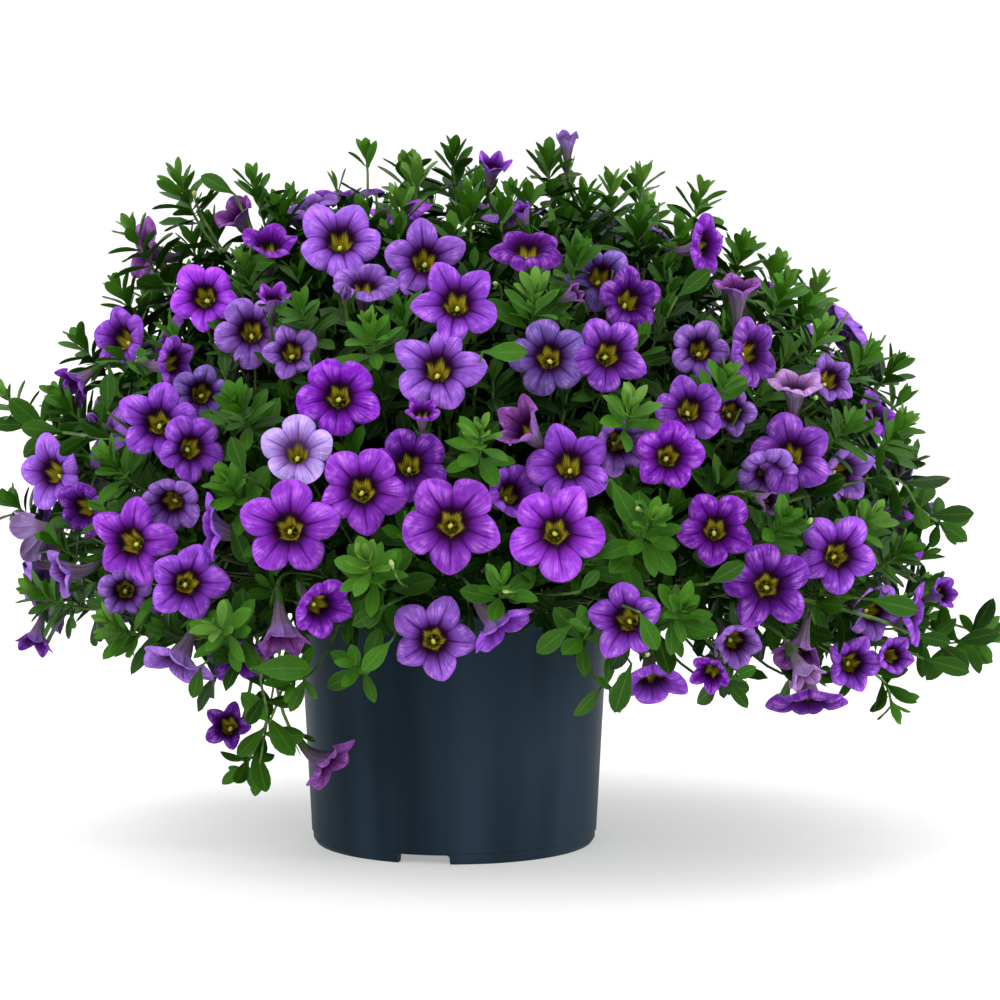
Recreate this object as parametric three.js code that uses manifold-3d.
// A calibrachoa in a growers' pot: six leafy branches that make one dense dome, trumpet blooms
// over all of it, and a tapered plastic pot full of soil. Millimetres, +Z up, the origin on the
// pot's axis at the surface that it stands on, the show side facing -Y.
import * as THREE from "three";
import { mergeVertices } from "three/addons/utils/BufferGeometryUtils.js";
import Module from "manifold-3d";

const wasm = await Module();
wasm.setup();

// ---------------------------------------------------------------- driving dimensions

const GAP = 0.3; // running gap between two pieces that touch

const POT = {
  sides: 28,
  height: 95,
  rimRadius: 60.5,
  rimBand: 6.5, // height of the thicker band under the rim
  topRadius: 59.2, // wall just under the rim band
  footRadius: 54.6, // wall just above the foot band
  footBand: 4.6,
  footInset: 1.6, // the foot's lower edge is drawn in by this much
  wall: 1.2,
  floor: 1.8,
  channelInner: 22, // the floor is raised in a ring, so that water runs to the foot's cut-outs
  channelOuter: 47,
  channelRise: 5,
  cutOuts: 3,
  cutOutTurn: -102, // degrees, the first cut-out's middle
  cutOutWidth: 20,
  cutOutHeight: 3.6,
  drains: 6,
  drainRadius: 3.5,
};

const SOIL = { sides: 20, top: 86, crown: 2.5, clear: 0.7, holeDepth: 24, holeRadius: 2.4 };

const BRANCHES = 6;
const STEM = { radius: 1.7, circle: 18 }; // main stems, and the circle that they stand on

// The bush's skin is an ellipsoid, and its dense core a smaller one inside it.
const BUSH = { middleX: 14, middleZ: 112, halfWidth: 178, halfDepth: 158, halfHeight: 142 };
const CORE = {
  width: 0.72,
  height: 0.74,
  bump: 0.07, // the share by which the middles of its sides stand in and out in turn
  underside: 104,
  levels: [104, 123, 147, 171, 192, 208, 216],
  tuck: 0.84, // the underside's share of the full width
  tuckHeight: 20,
  gap: 1.6,
  axisGap: 3.5,
};

// The show side is laid out as someone sees it who stands in front of it, a little above.
const EYE = new THREE.Vector3(17.6, -1966, 368);

const TUBE = 17; // a bloom's tube, from the middle of its face to its calyx
const LEAF = {
  length: 23,
  width: 9.4,
  thickness: 1.1,
  bend: 0.14, // how far the tip droops, as a share of the length
  fold: 0.16,
  open: 1.05, // the angle between a leaf and its stem
  tipOpen: 0.3,
};
const NODE_HEIGHT = 2.4; // of the short band of a stem that leaves grow from
const GOLDEN_TURN = Math.PI * (3 - Math.sqrt(5));
const GOLDEN_SHARE = (Math.sqrt(5) - 1) / 2;

// Open blooms of the show side: across, up, diameter, turned right, tipped up, pushed back.
const SHOW_BLOOMS = [
  [-95, 209, 26, -8, 5, 0],
  [-43, 231, 32, 0, 30, 0],
  [-11, 223, 30, 5, 10, 2],
  [1, 207, 32, 0, 20, -14],
  [-6, 182, 33, 0, 26, 0],
  [28, 228, 28, 0, 60, 0],
  [36, 186, 30, -5, 5, 4],
  [59, 187, 29, 10, 2, 0],
  [-44, 171, 30, -3, 5, 0],
  [-60, 150, 27, -5, 22, 3],
  [-113, 161, 30, -8, 5, 0],
  [-100, 151, 26, 20, 0, 9],
  [-35, 135, 33, 0, 4, 0],
  [-63, 120, 35, -4, 0, -4],
  [-124, 115, 33, -20, 0, 0],
  [-1, 122, 37, 0, 0, -6],
  [39, 119, 34, 2, 4, -3],
  [44, 145, 32, 0, 22, 4],
  [82, 148, 25, 5, 0, -6],
  [90, 166, 26, 8, 12, 8],
  [114, 188, 26, 48, 5, 0],
  [130, 175, 22, 10, 72, 0],
  [100, 120, 27, 2, 5, 0],
  [147, 110, 31, 10, 0, 0],
  [120, 98, 32, 3, -5, -6],
  [129, 149, 30, 0, 18, 8],
  [-8, 77, 31, 0, -6, 8],
  [17, 83, 28, 60, -48, 16],
  [66, 85, 28, -15, 4, 0],
  [76, 61, 27, 10, -52, 22],
  [136, 53, 31, 0, -66, 0],
  [153, 68, 22, 20, -4, 6],
  [176, 87, 25, 74, -5, 0],
  [-154, 142, 28, -35, 5, 0],
  [-160, 119, 25, -112, -24, 10],
  [-150, 103, 20, -66, -18, 0],
  [-102, 99, 29, 10, -4, 0],
  [-92, 120, 26, -76, 0, 8],
  [-51, 90, 24, 30, -20, 0],
  [-66, 80, 24, 12, -62, 12],
  [-106, 69, 29, -40, -58, 8],
  [-87, 44, 18, -12, 8, 30],
  [-48, 29, 26, 66, -36, 62],
  [-117, 227, 27, -70, 6, 12],
  [-82, 240, 19, -55, 42, 0],
  [-70, 229, 22, 6, 60, 0],
  [-34, 214, 25, 6, 62, 8],
  [67, 208, 24, 20, 14, 12],
  [96, 229, 23, 60, 4, 0],
  [108, 212, 20, 4, 76, 0],
  [-106, 184, 21, 52, 0, 4],
  [-62, 188, 20, -6, 12, 6],
  [-17, 145, 28, 0, 12, 3],
  [27, 159, 25, -50, 30, 4],
];

// Closed and half-open buds of the show side: across, up, length, turned right, tipped up.
const SHOW_BUDS = [
  [43, 264, 13, 0, 80],
  [14, 254, 15, 20, 60],
  [27, 238, 11, -30, 60],
  [42, 208, 12, 60, 30],
  [-41, 205, 12, 0, 50],
  [-140, 179, 14, -60, -30],
  [-135, 161, 11, -20, 20],
  [-69, 204, 14, 10, 60],
  [-12, 161, 13, 0, 60],
  [117, 132, 12, 40, -10],
  [100, 67, 14, -20, -20],
  [131, 70, 17, 40, -50],
  [183, 94, 15, 40, 20],
  [-159, 82, 13, -30, -60],
  [166, 71, 15, 20, 10],
];

// Tips of the show side's leafy shoots: across, up, pushed back.
const SHOW_SHOOTS = [
  [-104, 254, 10],
  [-76, 253, 0],
  [-66, 243, -8],
  [-33, 262, 0],
  [-14, 256, 10],
  [0, 264, 20],
  [36, 262, 0],
  [60, 252, 0],
  [78, 245, 10],
  [94, 249, 0],
  [-122, 235, 0],
  [-127, 212, 0],
  [-142, 192, 0],
  [-148, 168, -6],
  [-132, 148, -8],
  [-86, 138, -6],
  [-83, 170, -8],
  [-58, 205, -8],
  [-80, 222, -4],
  [-32, 198, -8],
  [31, 212, -10],
  [10, 158, -10],
  [47, 226, -6],
  [68, 168, -10],
  [76, 124, -12],
  [-33, 108, -10],
  [-92, 84, -6],
  [-132, 84, 0],
  [126, 214, 0],
  [140, 196, 0],
  [157, 187, 0],
  [168, 183, 10],
  [150, 160, -8],
  [171, 160, 0],
  [126, 124, -10],
  [104, 178, -8],
  [160, 125, -6],
  [172, 112, 0],
  [52, 82, 0],
  [88, 90, -8],
  [109, 64, 0],
  [62, 60, 14],
  [-38, 68, 10],
  [-64, 64, 10],
  [-160, 96, 0],
  [18, 100, -4],
];

// Long trailing stems: their points as across, up, pushed back, and the leaves along them.
const ARMS = [
  { points: [[-104, 150, 20], [-140, 156, 6], [-160, 160, 0], [-171, 172, 0]], nodes: [0.5, 0.75, 1] },
  { points: [[120, 128, 30], [165, 140, 6], [178, 128, 0], [188, 121, 0]], nodes: [0.5, 0.75, 1] },
  { points: [[118, 96, 30], [160, 86, 6], [186, 76, 0], [204, 80, 0]], nodes: [0.5, 0.75, 1] },
  { points: [[112, 92, 34], [142, 76, 34], [164, 62, 18], [168, 50, 6]], nodes: [0.6, 1] },
  { points: [[-64, 96, 40], [-74, 66, 22], [-72, 46, 34], [-82, 26, 40]], nodes: [0.5, 0.75, 1] },
];

// The back is laid out by a golden spiral from one side of the plant to the other. A shift moves
// the spiral of the groups, the buds or the shoots, so that they don't start in one place.
const BACK = {
  groupShift: 0.35,
  budShift: 0.45,
  shootShift: 0.2,
  groups: 10,
  spread: 12.5, // from the middle of a group to each of its three blooms
  buds: 6,
  shoots: 39,
  lowest: 76,
  highest: 252,
  from: 6, // degrees round the pot
  to: 176,
};

// Where a thing is tried when its first place is taken: other roots and other turns.
const TRY = {
  drops: [0, 10, -12, 24],
  shifts: [0, 1, -1],
  swings: [0, 0.12, -0.12, 0.24, -0.24, 0.36, -0.36],
  necks: [
    [0, 0, 0],
    [8, 0, 0],
    [0, 6, 0],
    [0, -6, 0],
    [0, 0, 6],
    [0, 0, -6],
    [5, 9, 5],
    [5, -9, 5],
    [5, 9, -5],
    [5, -9, -5],
    [16, 0, 0],
    [-1, 12, 0],
    [-1, -12, 0],
    [-1, 0, 12],
    [-1, 0, -12],
  ],
  leafSwings: [0, 0.3, -0.3, 0.6, -0.6],
  closes: [0, 0.35, -0.35],
};

// ---------------------------------------------------------------- small helpers

const UP = new THREE.Vector3(0, 0, 1);
const radians = THREE.MathUtils.degToRad;

let seed = 20;
// A repeatable draw between low and high.
function draw(low, high) {
  seed = (seed * 16807) % 2147483647;
  return low + ((high - low) * seed) / 2147483647;
}

// A closed three.js geometry as a manifold-3d solid.
function solid(geometry) {
  const bare = new THREE.BufferGeometry();
  bare.setAttribute("position", geometry.getAttribute("position"));
  if (geometry.index) bare.setIndex(geometry.index);
  const merged = mergeVertices(bare, 1e-4);
  return new wasm.Manifold(
    new wasm.Mesh({
      numProp: 3,
      vertProperties: new Float32Array(merged.getAttribute("position").array),
      triVerts: new Uint32Array(merged.index.array),
    }),
  );
}

// A manifold-3d solid as a three.js geometry.
function geometryOf(body) {
  const mesh = body.getMesh();
  const geometry = new THREE.BufferGeometry();
  geometry.setAttribute("position", new THREE.BufferAttribute(mesh.vertProperties, 3));
  geometry.setIndex(new THREE.BufferAttribute(mesh.triVerts, 1));
  return geometry;
}

// A closed skin that is laid ring by ring.
class Skin {
  constructor() {
    this.points = [];
    this.faces = [];
  }

  ring(points) {
    const first = this.points.length;
    this.points.push(...points);
    return points.map((_, i) => first + i);
  }

  // Joins two rings, whose points may differ in number, with a band of triangles.
  band(a, b) {
    let i = 0;
    let j = 0;
    while (i < a.length || j < b.length) {
      const stepA = j >= b.length || (i < a.length && (i + 1) * b.length <= (j + 1) * a.length);
      const fromA = a[i % a.length];
      const fromB = b[j % b.length];
      if (stepA) {
        i += 1;
        if (a.length > 1) this.faces.push([fromA, a[i % a.length], fromB]);
      } else {
        j += 1;
        if (b.length > 1) this.faces.push([fromA, b[j % b.length], fromB]);
      }
    }
  }

  cap(ring) {
    for (let i = 1; i < ring.length - 1; i++) this.faces.push([ring[0], ring[i], ring[i + 1]]);
  }

  // The open end of the first ring, turned the other way.
  floor(ring) {
    this.cap([...ring].reverse());
  }

  solid() {
    const geometry = new THREE.BufferGeometry().setFromPoints(this.points);
    geometry.setIndex(this.faces.flat());
    const made = solid(geometry);
    if (made.volume() > 0) return made;
    geometry.setIndex(this.faces.flatMap(([a, b, c]) => [a, c, b]));
    return solid(geometry);
  }
}

// Points evenly round a circle in the plane of two axes.
function circle(middle, right, up, radius, count, turn = 0) {
  return Array.from({ length: count }, (_, i) => {
    const angle = turn + (i / count) * 2 * Math.PI;
    return middle
      .clone()
      .addScaledVector(right, radius * Math.cos(angle))
      .addScaledVector(up, radius * Math.sin(angle));
  });
}

// Two axes square to a direction.
function across(direction) {
  const side = Math.abs(direction.z) > 0.95 ? new THREE.Vector3(1, 0, 0) : UP;
  const right = new THREE.Vector3().crossVectors(side, direction).normalize();
  const up = new THREE.Vector3().crossVectors(direction, right).normalize();
  return [right, up];
}

// The same two axes carried over to another direction with no twist between them.
function carried(right, direction) {
  const moved = right.clone().addScaledVector(direction, -right.dot(direction)).normalize();
  return [moved, new THREE.Vector3().crossVectors(direction, moved)];
}

// A tapered stem through some points.
function stem(points, thick, thin, sides) {
  const skin = new Skin();
  let last = null;
  let right = null;
  let up = null;
  points.forEach((point, i) => {
    const before = points[Math.max(i - 1, 0)];
    const after = points[Math.min(i + 1, points.length - 1)];
    const way = after.clone().sub(before).normalize();
    [right, up] = right ? carried(right, way) : across(way);
    const radius = thick + ((thin - thick) * i) / (points.length - 1);
    const ring = skin.ring(circle(point, right, up, radius, sides));
    if (last) skin.band(last, ring);
    else skin.floor(ring);
    last = ring;
  });
  skin.cap(last);
  return skin.solid();
}

// ---------------------------------------------------------------- the bush's form

// How far the skin is from the pot's axis, in one direction and at one height.
function reach(azimuth, z) {
  const level = 1 - ((z - BUSH.middleZ) / BUSH.halfHeight) ** 2;
  if (level <= 0) return 0;
  const u = Math.cos(azimuth) / BUSH.halfWidth;
  const v = Math.sin(azimuth) / BUSH.halfDepth;
  const middle = BUSH.middleX / BUSH.halfWidth;
  const square = u * u + v * v;
  const root = (u * middle) ** 2 - square * (middle * middle - level);
  return root > 0 ? (u * middle + Math.sqrt(root)) / square : 0;
}

function coreReach(azimuth, z) {
  const rise = Math.min((z - CORE.underside) / CORE.tuckHeight, 1);
  const tucked = CORE.tuck + (1 - CORE.tuck) * rise;
  return tucked * CORE.width * reach(azimuth, BUSH.middleZ + (z - BUSH.middleZ) / CORE.height);
}

// The way that the skin faces at a point.
function skinNormal(point) {
  return new THREE.Vector3(
    (point.x - BUSH.middleX) / BUSH.halfWidth ** 2,
    point.y / BUSH.halfDepth ** 2,
    (point.z - BUSH.middleZ) / BUSH.halfHeight ** 2,
  ).normalize();
}

// Where a line of sight meets the skin, or the plant's middle plane where it misses the skin.
function onShowSide(acrossShow, up, pushedBack) {
  const aim = new THREE.Vector3(acrossShow, 0, up);
  const point = aim.clone();
  for (let pass = 0; pass < 6; pass++) {
    const x = (point.x - BUSH.middleX) / BUSH.halfWidth;
    const z = (point.z - BUSH.middleZ) / BUSH.halfHeight;
    const y = -BUSH.halfDepth * Math.sqrt(Math.max(0, 1 - x * x - z * z)) + pushedBack;
    point.lerpVectors(EYE, aim, 1 - y / EYE.y);
  }
  return point;
}

// Point number i of count on the back, and the share that shifts one spiral against another.
function onBack(i, count, shift) {
  const turn = (i * GOLDEN_SHARE + shift) % 1;
  const azimuth = radians(BACK.from + (BACK.to - BACK.from) * turn);
  const z = BACK.lowest + (BACK.highest - BACK.lowest) * ((i + 0.5) / count);
  const radius = reach(azimuth, z);
  return new THREE.Vector3(radius * Math.cos(azimuth), radius * Math.sin(azimuth), z);
}

// The branch that a point belongs to, by its direction from the pot's axis.
function branchOf(point) {
  const turn = Math.atan2(point.y, point.x) / (2 * Math.PI) + 1;
  return Math.floor((turn % 1) * BRANCHES);
}

function branchAzimuth(branch) {
  return ((branch + 0.5) / BRANCHES) * 2 * Math.PI;
}

// A point sunk in the core of one branch, towards something outside it.
function rootFor(point, branch, swing, drop) {
  const half = Math.PI / BRANCHES - 0.1;
  const middle = branchAzimuth(branch);
  let off = Math.atan2(point.y, point.x) + swing - middle;
  off = Math.atan2(Math.sin(off), Math.cos(off));
  const azimuth = middle + THREE.MathUtils.clamp(off, -half, half);
  const top = CORE.levels[CORE.levels.length - 1];
  const height = BUSH.middleZ + (point.z - BUSH.middleZ) * 0.66 - 8 - drop;
  const z = THREE.MathUtils.clamp(height, CORE.underside + 5, top - 10);
  const radius = coreReach(azimuth, z) - 9;
  return new THREE.Vector3(radius * Math.cos(azimuth), radius * Math.sin(azimuth), z);
}

// ---------------------------------------------------------------- pot and soil

function wallRadius(z) {
  const share = (z - POT.footBand) / (POT.height - POT.rimBand - POT.footBand);
  return POT.footRadius + (POT.topRadius - POT.footRadius) * share;
}

// A closed shape turned round the pot's axis, from its outline as radius and height.
function lathe(outline, segments) {
  const skin = new Skin();
  const middle = (z) => new THREE.Vector3(0, 0, z);
  const x = new THREE.Vector3(1, 0, 0);
  const y = new THREE.Vector3(0, 1, 0);
  const rings = outline.map(([radius, z]) =>
    skin.ring(radius ? circle(middle(z), x, y, radius, segments) : [middle(z)]),
  );
  for (let i = 1; i < rings.length; i++) skin.band(rings[i - 1], rings[i]);
  return skin.solid();
}

function makePot() {
  const rimFoot = POT.height - POT.rimBand;
  const rise = POT.channelRise;
  const floorTop = rise + POT.floor;
  let pot = lathe([
    [0, 0],
    [POT.channelInner - 2, 0],
    [POT.channelInner, rise],
    [POT.channelOuter, rise],
    [POT.channelOuter + 2, 0],
    [POT.footRadius - POT.footInset, 0],
    [POT.footRadius - 0.5, 1.4],
    [POT.footRadius - 0.5, POT.footBand - 0.5],
    [POT.footRadius, POT.footBand],
    [wallRadius(rimFoot), rimFoot],
    [POT.rimRadius, rimFoot + 1],
    [POT.rimRadius, POT.height],
    [POT.topRadius - POT.wall, POT.height],
    [wallRadius(floorTop) - POT.wall, floorTop],
    [POT.channelInner - 2, floorTop],
    [POT.channelInner - 4, POT.floor],
    [0, POT.floor],
  ], POT.sides);
  for (let i = 0; i < POT.cutOuts; i++) {
    const turn = radians(POT.cutOutTurn + (360 / POT.cutOuts) * i);
    const cut = new THREE.BoxGeometry(POT.footRadius, POT.cutOutWidth, 2 * POT.cutOutHeight);
    cut.translate(POT.footRadius, 0, 0).rotateZ(turn);
    pot = pot.subtract(solid(cut));
  }
  for (let i = 0; i < POT.drains; i++) {
    const turn = radians(POT.cutOutTurn + (360 / POT.drains) * i);
    const middle = (POT.channelInner + POT.channelOuter) / 2;
    const drain = new THREE.CylinderGeometry(POT.drainRadius, POT.drainRadius, 30, 8);
    drain.rotateX(Math.PI / 2).translate(middle * Math.cos(turn), middle * Math.sin(turn), 0);
    pot = pot.subtract(solid(drain));
  }
  return pot;
}

// The soil fills the pot, down into the middle of its floor.
function makeSoil() {
  const low = POT.floor + GAP;
  const high = POT.channelRise + POT.floor + GAP;
  let soil = lathe([
    [0, low],
    [POT.channelInner - 4.7, low],
    [POT.channelInner - 2.7, high],
    [wallRadius(high) - POT.wall - SOIL.clear, high],
    [wallRadius(SOIL.top) - POT.wall - SOIL.clear, SOIL.top],
    [wallRadius(SOIL.top) * 0.6, SOIL.top + SOIL.crown],
    [0, SOIL.top + SOIL.crown],
  ], SOIL.sides);
  for (let branch = 0; branch < BRANCHES; branch++) {
    const hole = new THREE.CylinderGeometry(SOIL.holeRadius, SOIL.holeRadius, 2 * SOIL.holeDepth, 6);
    const azimuth = branchAzimuth(branch);
    hole.rotateX(Math.PI / 2);
    hole.translate(STEM.circle * Math.cos(azimuth), STEM.circle * Math.sin(azimuth), SOIL.top);
    soil = soil.subtract(solid(hole));
  }
  return soil;
}

// ---------------------------------------------------------------- blooms

// The frame of a bloom: its face looks along z.
function bloomFrame(place, facing, roll) {
  const right = new THREE.Vector3().crossVectors(UP, facing).normalize();
  const up = new THREE.Vector3().crossVectors(facing, right);
  return new THREE.Matrix4()
    .makeBasis(right, up, facing)
    .setPosition(place)
    .multiply(new THREE.Matrix4().makeRotationZ(roll));
}

// A direction from degrees turned to the right and tipped up, as seen from the show side.
function facingOf(turned, tipped) {
  const flat = Math.cos(radians(tipped));
  return new THREE.Vector3(
    flat * Math.sin(radians(turned)),
    -flat * Math.cos(radians(turned)),
    Math.sin(radians(tipped)),
  );
}

// The corolla: a narrow tube that opens into five broad lobes round a sunken throat.
const LOBE = [0.82, 1, 1]; // the rim's radius at the cut between two lobes, then along a lobe
const PLAIN_LOBE = [0.8, 1];
function makeCorolla(bloom, grow = 0) {
  const radius = bloom.diameter / 2 + grow;
  const x = new THREE.Vector3(1, 0, 0);
  const y = new THREE.Vector3(0, 1, 0);
  const at = (z) => new THREE.Vector3(0, 0, z);
  const lobe = bloom.plain ? PLAIN_LOBE : LOBE;
  const rimPoints = circle(at(0), x, y, radius, 5 * lobe.length).map((point, i) => {
    const share = i % lobe.length;
    return point.multiplyScalar(lobe[share]).setZ(share ? 0.6 : -0.8);
  });
  const skin = new Skin();
  const foot = skin.ring(circle(at(-TUBE), x, y, 1.3 + grow, 4));
  const neck = skin.ring(circle(at(-4.5), x, y, 3.4 + grow, 4));
  const rim = skin.ring(rimPoints);
  const mouth = skin.ring(circle(at(-1.6), x, y, 3.6, 5));
  const bottom = skin.ring([at(-8)]);
  skin.floor(foot);
  skin.band(foot, neck);
  skin.band(neck, rim);
  skin.band(rim, mouth);
  skin.band(mouth, bottom);
  skin.points.forEach((point) => point.applyMatrix4(bloom.frame));
  return skin.solid();
}

function bloomAt(place, facing, diameter) {
  const frame = bloomFrame(place, facing, draw(0, 2 * Math.PI));
  const seat = place.clone().addScaledVector(facing, -TUBE - GAP);
  return { place, facing, diameter, frame, seat };
}

function showBlooms() {
  return SHOW_BLOOMS.map(([x, z, diameter, turned, tipped, pushed]) =>
    bloomAt(onShowSide(x, z, pushed), facingOf(turned, tipped), diameter),
  );
}

// The back's blooms stand in threes, with their lobes pressed into each other.
function backBlooms() {
  const blooms = [];
  for (let i = 0; i < BACK.groups; i++) {
    const middle = onBack(i, BACK.groups, BACK.groupShift);
    const normal = skinNormal(middle);
    const [right, up] = across(normal);
    const lean = draw(0, 2 * Math.PI);
    for (let k = 0; k < 3; k++) {
      const turn = lean + (k * 2 * Math.PI) / 3;
      const out = right.clone().multiplyScalar(Math.cos(turn)).addScaledVector(up, Math.sin(turn));
      const diameter = draw(27, 34);
      const place = middle.clone().addScaledVector(out, BACK.spread);
      const facing = normal.clone().addScaledVector(out, 0.25);
      facing.z += draw(-0.1, 0.2);
      blooms.push({ ...bloomAt(place, facing.normalize(), diameter), plain: true });
    }
  }
  return blooms;
}

// ---------------------------------------------------------------- parts of a branch

// The outline of a leaf blade: a kite, folded along its rib and bent back towards its tip.
function bladePoints(leaf, grow = 0) {
  const { root, along, face, length, width } = leaf;
  const side = new THREE.Vector3().crossVectors(along, face).normalize();
  const normal = new THREE.Vector3().crossVectors(side, along).normalize();
  const at = (share, sideways, lift) =>
    root
      .clone()
      .addScaledVector(along, share * length)
      .addScaledVector(side, sideways)
      .addScaledVector(normal, lift - LEAF.bend * length * share * share);
  const half = LEAF.thickness / 2 + grow;
  const edge = (hand) => at(0.54, hand * (width / 2 + grow), LEAF.fold * width);
  return { waist: [at(0.5, 0, half), edge(1), at(0.5, 0, -half), edge(-1)], tip: at(1, 0, 0) };
}

// Grows a blade out of a ring of points of a skin, whose face it takes the place of.
function growBlade(skin, root, leaf, grow = 0) {
  const blade = bladePoints(leaf, grow);
  const waist = skin.ring(blade.waist);
  const far = (start) =>
    root.reduce((sum, _, i) => {
      const from = skin.points[root[(i + start) % root.length]];
      return sum + from.distanceToSquared(blade.waist[Math.round((i * 4) / root.length) % 4]);
    }, 0);
  const start = root.map((_, i) => i).reduce((best, i) => (far(i) < far(best) ? i : best));
  const turned = root.map((_, i) => root[(i + start) % root.length]);
  skin.band(turned, waist);
  skin.band(waist, skin.ring([blade.tip]));
}

// One blade alone, to try whether there is room for it.
function loneBlade(leaf, grow) {
  const skin = new Skin();
  const [right, up] = across(leaf.along);
  const foot = leaf.root.clone().addScaledVector(leaf.along, 2);
  const root = skin.ring(circle(foot, right, up, 1, 3));
  skin.floor(root);
  growBlade(skin, root, leaf, grow);
  return skin.solid();
}

// The skin of a stem that can bear leaves. Its nodes are short bands, three of whose faces, and
// the face at the tip, are the places that leaves grow from.
class LeafyStem {
  constructor(line, thick, thin, nodes) {
    this.line = line;
    this.skin = new Skin();
    this.sites = [];
    const bends = line.map((_, i) => i / (line.length - 1)).slice(0, -1);
    const plain = bends.filter((share) => !nodes.includes(share));
    const stations = plain.map((share) => ({ share, low: 0, node: null }));
    for (const node of nodes) {
      stations.push({ share: node, low: NODE_HEIGHT, node: null });
      stations.push({ share: node, low: 0, node });
    }
    stations.sort((p, q) => p.share - q.share || q.low - p.low);
    let right = null;
    let last = null;
    for (const { share, low, node } of stations) {
      const { point, forward } = along(line, share);
      let up = null;
      [right, up] = right ? carried(right, forward) : across(forward);
      const radius = thick + (thin - thick) * share;
      const middle = point.clone().addScaledVector(forward, -low);
      const ring = this.skin.ring(circle(middle, right, up, radius, 3));
      const before = this.skin.faces.length;
      if (last) this.skin.band(last, ring);
      else this.skin.floor(ring);
      if (node !== null) {
        for (let side = 0; side < 3; side++) {
          const face = this.skin.faces[before + 2 * side];
          const angle = ((side + 0.5) / 3) * 2 * Math.PI;
          const out = right.clone().multiplyScalar(Math.cos(angle)).addScaledVector(up, Math.sin(angle));
          this.sites.push({ face, node, side, out, forward, root: this.middle(face) });
        }
      }
      last = ring;
    }
    this.skin.faces.push(last);
    const { forward } = along(line, 1);
    this.sites.push({ face: last, node: 1, side: 3, out: right, forward, root: this.middle(last) });
  }

  middle(face) {
    const sum = new THREE.Vector3();
    face.forEach((i) => sum.add(this.skin.points[i]));
    return sum.divideScalar(face.length);
  }

  grow(site, leaf) {
    this.skin.faces.splice(this.skin.faces.indexOf(site.face), 1);
    growBlade(this.skin, site.face, leaf);
  }

  solid() {
    return this.skin.solid();
  }
}

// A flower stalk with its calyx, whose five sepals stand round the bloom's tube.
function makeStalk(root, bloom, neckAt, grow = 0) {
  const { seat, facing } = bloom;
  const [right, up] = across(facing);
  const neckPoint = seat.clone().addScaledVector(facing, -4 - neckAt[0]);
  neckPoint.addScaledVector(right, neckAt[1]).addScaledVector(up, neckAt[2]);
  const [footRight, footUp] = carried(right, neckPoint.clone().sub(root).normalize());
  const skin = new Skin();
  const foot = skin.ring(circle(root, footRight, footUp, 1.1 + grow, 3));
  const neck = skin.ring(circle(neckPoint, right, up, 1 + grow, 3));
  const star = skin.ring(
    circle(seat, right, up, 1, 10).map((point, i) => {
      const out = point.sub(seat).multiplyScalar(i % 2 ? 5.5 + grow : 2 + grow);
      return out.add(seat).addScaledVector(facing, i % 2 ? 5.5 : 0);
    }),
  );
  skin.floor(foot);
  skin.band(foot, neck);
  skin.band(neck, star);
  for (let i = 0; i < 10; i += 2) skin.faces.push([star[i], star[i + 1], star[(i + 2) % 10]]);
  skin.cap([0, 2, 4, 6, 8].map((i) => star[i]));
  return skin.solid();
}

// A bud on its stalk: a slim spindle.
function makeBud(root, bud, grow = 0) {
  const [right, up] = across(bud.facing);
  const at = (share) => bud.place.clone().addScaledVector(bud.facing, share * bud.length);
  const [footRight, footUp] = carried(right, bud.place.clone().sub(root).normalize());
  const skin = new Skin();
  const foot = skin.ring(circle(root, footRight, footUp, 1.1 + grow, 3));
  const neck = skin.ring(circle(at(0), right, up, 1.2 + grow, 3));
  const swell = skin.ring(circle(at(0.65), right, up, 0.19 * bud.length + grow, 5));
  const tip = skin.ring([at(1)]);
  skin.floor(foot);
  skin.band(foot, neck);
  skin.band(neck, swell);
  skin.band(swell, tip);
  return skin.solid();
}

// The dense heart of one branch: a sector of the core, with a gap to its neighbours.
function makeCore(branch) {
  const middle = branchAzimuth(branch);
  const skin = new Skin();
  const rings = CORE.levels.map((z, level) => {
    const outer = [-1, -0.34, 0.34, 1].map((share, i) => {
      const azimuth = middle + (Math.PI / BRANCHES) * share;
      const bump = (level + i) % 2 ? 1 + CORE.bump : 1 - CORE.bump;
      const radius = Math.max(coreReach(azimuth, z), 12) * (Math.abs(share) === 1 ? 1 : bump);
      const inward = Math.abs(share) === 1 ? (-share * CORE.gap) / 2 : 0;
      return new THREE.Vector3(
        radius * Math.cos(azimuth) - inward * Math.sin(azimuth),
        radius * Math.sin(azimuth) + inward * Math.cos(azimuth),
        z,
      );
    });
    const inner = new THREE.Vector3(
      CORE.axisGap * Math.cos(middle),
      CORE.axisGap * Math.sin(middle),
      z,
    );
    return skin.ring([inner, ...outer]);
  });
  skin.floor(rings[0]);
  for (let i = 1; i < rings.length; i++) skin.band(rings[i - 1], rings[i]);
  skin.cap(rings[rings.length - 1]);
  return skin.solid();
}

function makeMainStem(branch) {
  const azimuth = branchAzimuth(branch);
  const foot = new THREE.Vector3(
    STEM.circle * Math.cos(azimuth),
    STEM.circle * Math.sin(azimuth),
    SOIL.top - SOIL.holeDepth + GAP,
  );
  const top = foot.clone().setZ(CORE.underside + 12);
  return stem([foot, top], STEM.radius, STEM.radius, 5);
}

// ---------------------------------------------------------------- the plan of all that grows

function showBuds() {
  return SHOW_BUDS.map(([x, z, length, turned, tipped]) => ({
    place: onShowSide(x, z, 0),
    facing: facingOf(turned, tipped),
    length,
  }));
}

function backBuds() {
  return Array.from({ length: BACK.buds }, (_, i) => {
    const place = onBack(i, BACK.buds, BACK.budShift);
    return { place, facing: skinNormal(place), length: draw(12, 15) };
  });
}

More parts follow.
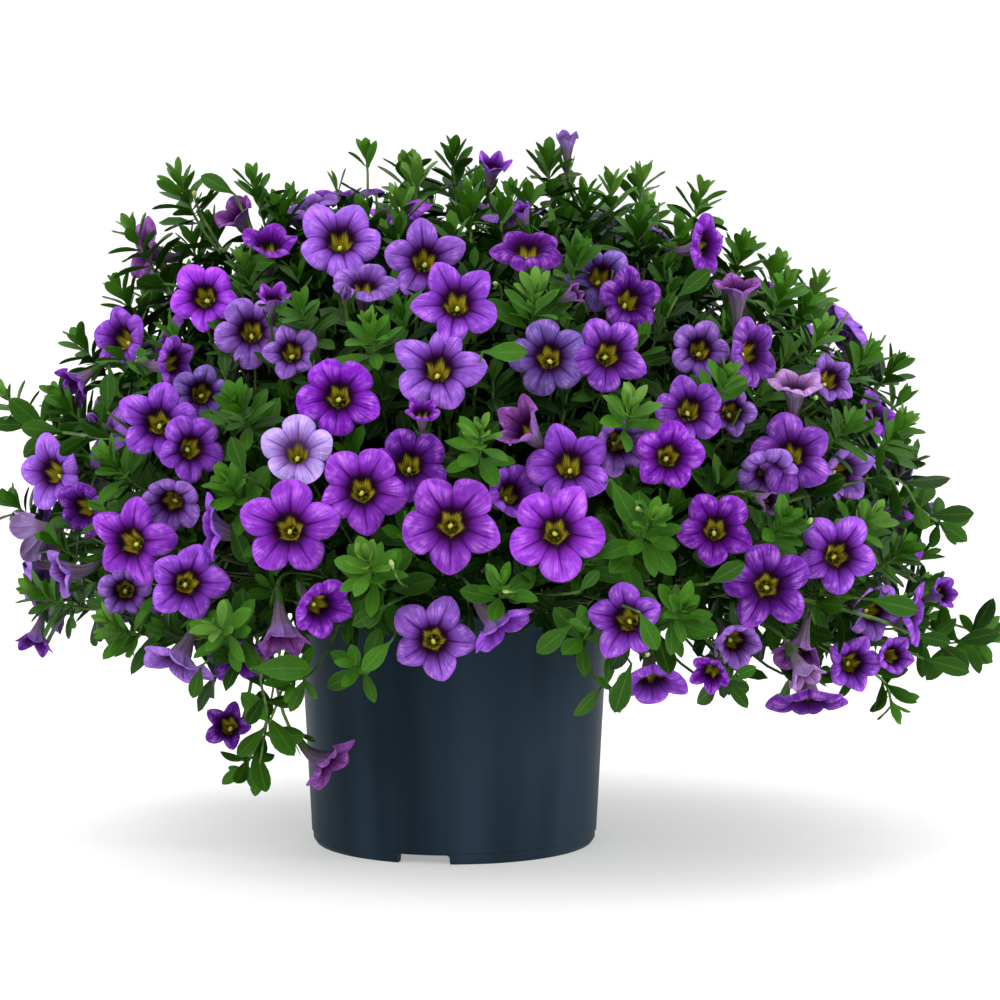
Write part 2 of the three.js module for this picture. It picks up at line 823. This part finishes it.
// The sizes of the leaves of a shoot, three to a node and one at the tip.
function leafSizes(nodes) {
  return Array.from({ length: 3 * nodes.length + 1 }, () => draw(0.85, 1.1));
}

function trailingShoots() {
  return ARMS.map(({ points, nodes }) => {
    const line = points.map((point) => onShowSide(...point));
    return { line, nodes, sizes: leafSizes(nodes), trailing: true };
  });
}

function shortShoots() {
  const tips = SHOW_SHOOTS.map((tip) => onShowSide(...tip));
  for (let i = 0; i < BACK.shoots; i++) {
    const tip = onBack(i, BACK.shoots, BACK.shootShift);
    tips.push(tip.addScaledVector(skinNormal(tip), 8));
  }
  return tips.map((tip) => ({ tip, nodes: [1], sizes: leafSizes([1]) }));
}

// The line of a short shoot, which leaves the core and curves upwards.
function shootLine(root, tip) {
  const rise = skinNormal(tip).multiplyScalar(0.7);
  rise.z += 0.55;
  const bow = tip.clone().addScaledVector(rise.normalize(), -0.45 * tip.distanceTo(root));
  const middle = bow.multiplyScalar(0.5).addScaledVector(root, 0.25).addScaledVector(tip, 0.25);
  return [root, middle, tip];
}

// The point at a share of the way along a line of points, and the way the line runs there.
function along(points, share) {
  const place = Math.min(share, 0.9999) * (points.length - 1);
  const i = Math.floor(place);
  const point = points[i].clone().lerp(points[i + 1], place - i);
  const forward = points[i + 1].clone().sub(points[i]).normalize();
  return { point, forward };
}

// The leaf at one place of a stem, swung round the stem and closed towards it by some angles.
function leafAt(site, size, swing, close) {
  const { root, out, forward } = site;
  const side = new THREE.Vector3().crossVectors(forward, out);
  const spread = out.clone().multiplyScalar(Math.cos(swing)).addScaledVector(side, Math.sin(swing));
  const open = (site.side === 3 ? LEAF.tipOpen : LEAF.open) - close;
  const way = forward.clone().multiplyScalar(Math.cos(open)).addScaledVector(spread, Math.sin(open));
  return {
    root,
    along: way.normalize(),
    face: site.side === 3 ? out : forward,
    length: LEAF.length * size * (site.side === 3 ? 0.8 : 1),
    width: LEAF.width * size,
  };
}

// ---------------------------------------------------------------- growing without crossings

const taken = []; // {owner, box, body} of everything placed so far

function boxOf(body) {
  const { min, max } = body.boundingBox();
  return new THREE.Box3(new THREE.Vector3(...min), new THREE.Vector3(...max));
}

function meets(one, other) {
  return other.box.intersectsBox(one.box) && !other.body.intersect(one.body).isEmpty();
}

// True where a body touches nothing that is taken, apart from what it may be fused with.
function isClear(body, mayTouch) {
  const trial = { body, box: boxOf(body) };
  return trial.box.min.z > 1 && taken.every((other) => mayTouch(other) || !meets(trial, other));
}

// Keeps a body for its node. A route only keeps room free for a leafy stem.
function grow(owner, kind, body, base = false) {
  const entry = { owner, kind, body, base, box: boxOf(body) };
  taken.push(entry);
  return entry;
}

// True where a body is sunk well into the core or a trailing shoot of its own branch.
function isRooted(owner, body) {
  const bases = taken.filter((other) => other.owner === owner && other.base);
  return bases.some((base) => base.body.intersect(body).volume() > 4);
}

// Blooms that press into each other share a node.
function bloomNodes(blooms) {
  let nodes = [];
  for (const bloom of blooms) {
    const body = makeCorolla(bloom);
    const trial = { body: makeCorolla(bloom, 0.4) };
    trial.box = boxOf(trial.body);
    const joined = nodes.filter((node) => meets(trial, node));
    const all = joined.reduce((sum, node) => sum.add(node.body), body);
    nodes = nodes.filter((node) => !joined.includes(node));
    nodes.push({ blooms: [bloom, ...joined.flatMap((node) => node.blooms)], body: all, box: boxOf(all) });
  }
  return nodes;
}

// The nearest point of the trailing shoots, or null beyond the given distance.
function onNearestArm(arms, point, farthest) {
  let best = null;
  for (const arm of arms) {
    for (let step = 5; step <= 20; step++) {
      const spot = along(arm.line, step / 20).point;
      const distance = spot.distanceTo(point);
      if (distance < (best ? best.distance : farthest)) best = { distance, spot, branch: arm.branch };
    }
  }
  return best;
}

// The places for a root: a trailing shoot that passes, then points in the core.
function rootsFor(point, arms, farthest) {
  const arm = onNearestArm(arms, point, farthest);
  const places = arm ? [{ root: arm.spot, branch: arm.branch }] : [];
  for (const drop of TRY.drops) {
    for (const shift of TRY.shifts) {
      const branch = (branchOf(point) + shift + BRANCHES) % BRANCHES;
      for (const swing of TRY.swings) places.push({ root: rootFor(point, branch, swing, drop), branch });
    }
  }
  return places;
}

function nameOf(branch) {
  return `branch_${branch + 1}`;
}

// Grows a stalk or a bud on the first root and by the first way that is clear. Where it must, it
// leans on others of its own branch.
function growFlower(place, arms, farthest, ways, besides, make) {
  for (const leaning of [false, true]) {
    for (const way of ways) {
      for (const { root, branch } of rootsFor(place, arms, farthest)) {
        const name = nameOf(branch);
        const own = ({ owner, kind }) => owner === name && (leaning || kind !== "stalk");
        const ownOrBloom = (other) => own(other) || other.owner === besides;
        const body = make(root, way, 0);
        if (isClear(make(root, way, 0.3), ownOrBloom) && isClear(body, own) && isRooted(name, body)) {
          grow(name, "stalk", body);
          return true;
        }
      }
    }
  }
  return false;
}

function growStalk(bloom, arms) {
  const behind = bloom.seat.clone().addScaledVector(bloom.facing, -6);
  const make = (root, way, wide) => makeStalk(root, bloom, way, wide);
  return growFlower(behind, arms, 34, TRY.necks, bloom.node, make);
}

function growBud(bud, arms) {
  const make = (root, way, wide) => makeBud(root, bud, wide);
  return growFlower(bud.place, arms, 30, [null], null, make);
}

// Finds a short shoot's way out of the core.
function routeShoot(shoot) {
  for (const { root, branch } of rootsFor(shoot.tip, [], 0)) {
    const own = ({ owner, kind }) => owner === nameOf(branch) && kind === "core";
    const line = shootLine(root, shoot.tip);
    const body = stem(line, 1.3, 1, 3);
    if (isClear(stem(line, 1.8, 1.4, 3), own) && isRooted(nameOf(branch), body)) {
      shoot.line = line;
      shoot.branch = branch;
      shoot.route = grow(nameOf(branch), "route", body);
      return true;
    }
  }
  return false;
}

function routeArm(arm) {
  arm.branch = branchOf(arm.line[0]);
  arm.line.unshift(rootFor(arm.line[0], arm.branch, 0, 0));
  arm.route = grow(nameOf(arm.branch), "route", stem(arm.line, 1.6, 1, 3), true);
}

// The way that a leaf can stand in one place of a stem without touching what is taken.
function roomFor(site, size, shoot, leaves) {
  const mine = (other) => other === shoot.route;
  for (const close of TRY.closes) {
    for (const swing of TRY.leafSwings) {
      const leaf = leafAt(site, size, swing, close);
      const wide = { body: loneBlade(leaf, 0.35) };
      wide.box = boxOf(wide.body);
      const free = leaves.every((other) => !meets(wide, other));
      if (free && isClear(wide.body, mine)) return { ...leaf, body: wide.body, box: wide.box };
    }
  }
  return null;
}

// Puts the leaves on a stem, each where it has room.
function growLeaves(shoot) {
  const [thick, thin] = shoot.trailing ? [1.6, 1] : [1.3, 1];
  const own = ({ owner }) => owner === nameOf(shoot.branch);
  let stemSkin = new LeafyStem(shoot.line, thick, thin, shoot.nodes);
  const leaves = [];
  stemSkin.sites.forEach((site, i) => {
    if (shoot.trailing && site.side === 2) return;
    const leaf = roomFor(site, shoot.sizes[i], shoot, leaves);
    if (leaf) leaves.push({ ...leaf, i });
  });
  for (let first = 0; first <= leaves.length; first++) {
    stemSkin = new LeafyStem(shoot.line, thick, thin, shoot.nodes);
    for (const leaf of leaves.slice(first)) stemSkin.grow(stemSkin.sites[leaf.i], leaf);
    if (isClear(stemSkin.solid(), own)) break;
  }
  grow(nameOf(shoot.branch), "leafy", stemSkin.solid());
}

// ---------------------------------------------------------------- the part

function growPlant() {
  const blooms = [...showBlooms(), ...backBlooms()];
  const buds = [...showBuds(), ...backBuds()];
  const arms = trailingShoots();
  const shoots = shortShoots();
  const nodes = bloomNodes(blooms);
  nodes.forEach((node, i) => {
    node.name = `bloom_${String(i + 1).padStart(2, "0")}`;
    node.blooms.forEach((bloom) => (bloom.node = node.name));
    grow(node.name, "bloom", node.body);
  });
  for (let branch = 0; branch < BRANCHES; branch++) {
    grow(nameOf(branch), "core", makeCore(branch), true);
    grow(nameOf(branch), "core", makeMainStem(branch));
  }
  arms.forEach(routeArm);
  blooms.forEach((bloom) => growStalk(bloom, arms));
  buds.forEach((bud) => growBud(bud, arms));
  const grown = shoots.filter((shoot) => routeShoot(shoot));
  [...arms, ...grown].forEach(growLeaves);
}

const MATERIALS = {
  pot: new THREE.MeshStandardMaterial({ color: 0x2a3640, roughness: 0.45 }),
  soil: new THREE.MeshStandardMaterial({ color: 0x2b1d14, roughness: 0.95 }),
  branch: new THREE.MeshStandardMaterial({ color: 0x2f6b1d, roughness: 0.5 }),
  bloom: new THREE.MeshStandardMaterial({ color: 0x8a3fc8, roughness: 0.6 }),
};

grow("pot", "pot", makePot());
grow("soil", "soil", makeSoil());
growPlant();

const part = new THREE.Group();
for (const name of new Set(taken.map(({ owner }) => owner))) {
  const own = taken.filter(({ owner, kind }) => owner === name && kind !== "route");
  const body = wasm.Manifold.union(own.map((entry) => entry.body));
  const mesh = new THREE.Mesh(geometryOf(body), MATERIALS[name.split("_")[0]]);
  mesh.name = name;
  part.add(mesh);
}

export default part;
